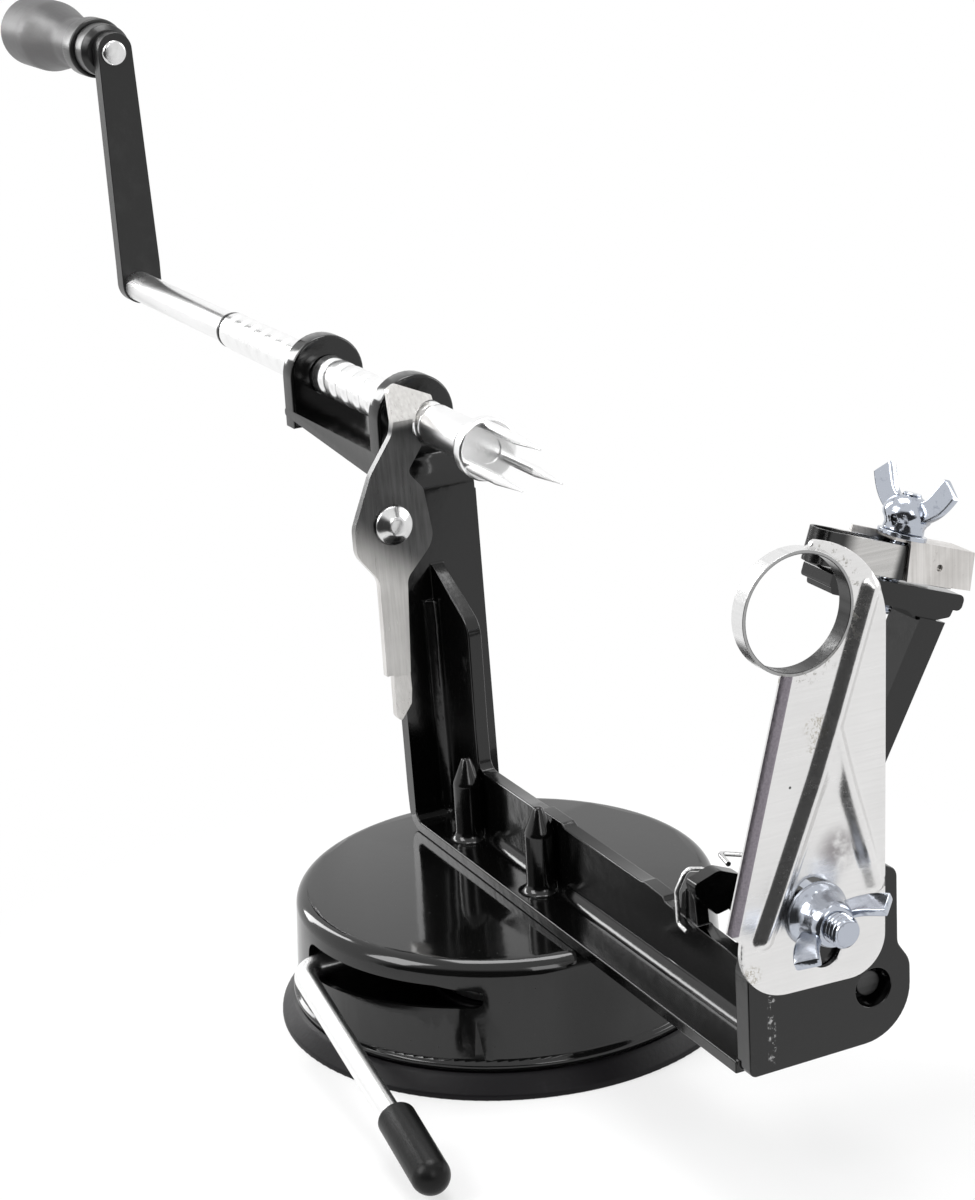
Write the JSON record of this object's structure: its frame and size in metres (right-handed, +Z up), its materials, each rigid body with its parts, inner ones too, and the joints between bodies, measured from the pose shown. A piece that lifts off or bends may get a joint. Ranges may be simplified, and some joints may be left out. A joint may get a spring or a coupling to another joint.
{
  "type": "apple peeler",
  "caption": "Hand-cranked peeling machine on a suction base: a feed screw turns the work past a sprung blade arm and a slicing plate with a coring ring.",
  "frame": {"origin": "centre of the suction base on the table", "axes": "+Z up, +X along the feed screw towards the slicer, +Y towards the peeling arm"},
  "size_m": [0.4182, 0.1233, 0.1934],
  "materials": {
    "black_enamel": "gloss",
    "black_drum": "gloss",
    "pad_rubber": "satin",
    "inner_steel": "satin",
    "bright_chrome": "polished",
    "cap_rubber": "satin",
    "dark_ring": "satin",
    "crank_black": "satin",
    "grip_dark": "matt",
    "bright_steel": "polished",
    "latch_steel": "brushed",
    "slicer_steel": "worn brushed",
    "zinc_plate": "bright zinc plate",
    "blade_steel": "brushed",
    "spring_steel": "bright"
  },
  "bodies": {
    "base": {"frame_casting": "black_enamel", "base_drum": "black_drum", "suction_pad": "pad_rubber", "stud_guide": "inner_steel", "base_screws": "zinc_plate", "base_washers": "zinc_plate", "slicer_bolt": "zinc_plate", "latch_rivet": "bright_steel", "latch_spring": "spring_steel", "pivot_shaft": "bright_steel", "pivot_clip": "spring_steel", "arm_spring": "spring_steel"},
    "feed_slide": {"thread_end_ring": "dark_ring"},
    "crank": {"feed_screw": "bright_chrome", "fork": "bright_chrome", "crank_arm": "crank_black", "handle_axle": "bright_steel", "handle_shoulder": "crank_black"},
    "handle": {"handle_grip": "grip_dark", "handle_ferrule": "crank_black"},
    "latch": {"latch_plate": "latch_steel"},
    "peeling_arm": {"peel_arm": "black_enamel", "blade_bolt": "zinc_plate"},
    "blade_holder": {"peel_blade": "blade_steel", "blade_clip": "blade_steel", "blade_washer": "zinc_plate"},
    "blade_nut": {"blade_wing_nut": "zinc_plate"},
    "slicer": {"slicer_blade": "slicer_steel", "coring_ring": "slicer_steel"},
    "slicer_nut": {"slicer_wing_nut": "zinc_plate"},
    "pad_lift": {"pad_plate": "inner_steel"},
    "lever": {"pad_stud": "inner_steel", "lever_rod": "bright_chrome", "lever_cap": "cap_rubber", "lever_collars": "inner_steel"}
  },
  "joints": [
    {"name": "feed_travel", "type": "slide", "parent": "base", "child": "feed_slide", "axis": [1, 0, 0], "range_m": [-0.008, 0.092]},
    {"name": "crank_turn", "type": "hinge", "parent": "feed_slide", "child": "crank", "pos_m": [0, 0.0064, 0.1203], "axis": [1, 0, 0], "range_deg": [-440, 5090]},
    {"name": "handle_spin", "type": "hinge", "parent": "crank", "child": "handle", "pos_m": [-0.26, 0.0054, 0.1836], "axis": [1, 0, 0], "continuous": true},
    {"name": "latch_release", "type": "hinge", "parent": "base", "child": "latch", "pos_m": [-0.0363, -0.006, 0.1001], "axis": [0.9987, 0, 0.0518], "range_deg": [0, 8], "stiffness_Nm_per_rad": 0.4, "springref_deg": -5.73},
    {"name": "arm_swing", "type": "hinge", "parent": "base", "child": "peeling_arm", "pos_m": [0.076, 0.0222, 0.0399], "axis": [1, 0, 0], "range_deg": [-35, 8], "stiffness_Nm_per_rad": 0.2, "springref_deg": 2.75, "deforming": ["arm_spring"]},
    {"name": "blade_swivel", "type": "hinge", "parent": "peeling_arm", "child": "blade_holder", "pos_m": [0.07755, 0.0481, 0.1064], "axis": [0, 0.3355, 0.9421], "range_deg": [-12, 12]},
    {"name": "blade_nut_turn", "type": "hinge", "parent": "peeling_arm", "child": "blade_nut", "pos_m": [0.07755, 0.0481, 0.1064], "axis": [0, 0.3355, 0.9421], "range_deg": [0, 360]},
    {"name": "slicer_swing", "type": "hinge", "parent": "base", "child": "slicer", "pos_m": [0.1105, 0.0085, 0.0591], "axis": [1, 0, 0], "range_deg": [-20, 40]},
    {"name": "slicer_nut_turn", "type": "hinge", "parent": "base", "child": "slicer_nut", "pos_m": [0.1155, 0.0085, 0.0591], "axis": [1, 0, 0], "range_deg": [0, 360]},
    {"name": "pad_raise", "type": "slide", "parent": "base", "child": "pad_lift", "axis": [0, 0, 1], "range_m": [0, 0.00245]},
    {"name": "lever_turn", "type": "hinge", "parent": "pad_lift", "child": "lever", "pos_m": [0, 0, 0.0182], "axis": [0, 0, 1], "range_deg": [0, 40]}
  ],
  "couplings": [
    {"joint": "feed_travel", "follows": "crank_turn", "m_per_rad": 0.0010345},
    {"joint": "pad_raise", "follows": "lever_turn", "m_per_rad": 0.0034377}
  ]
}
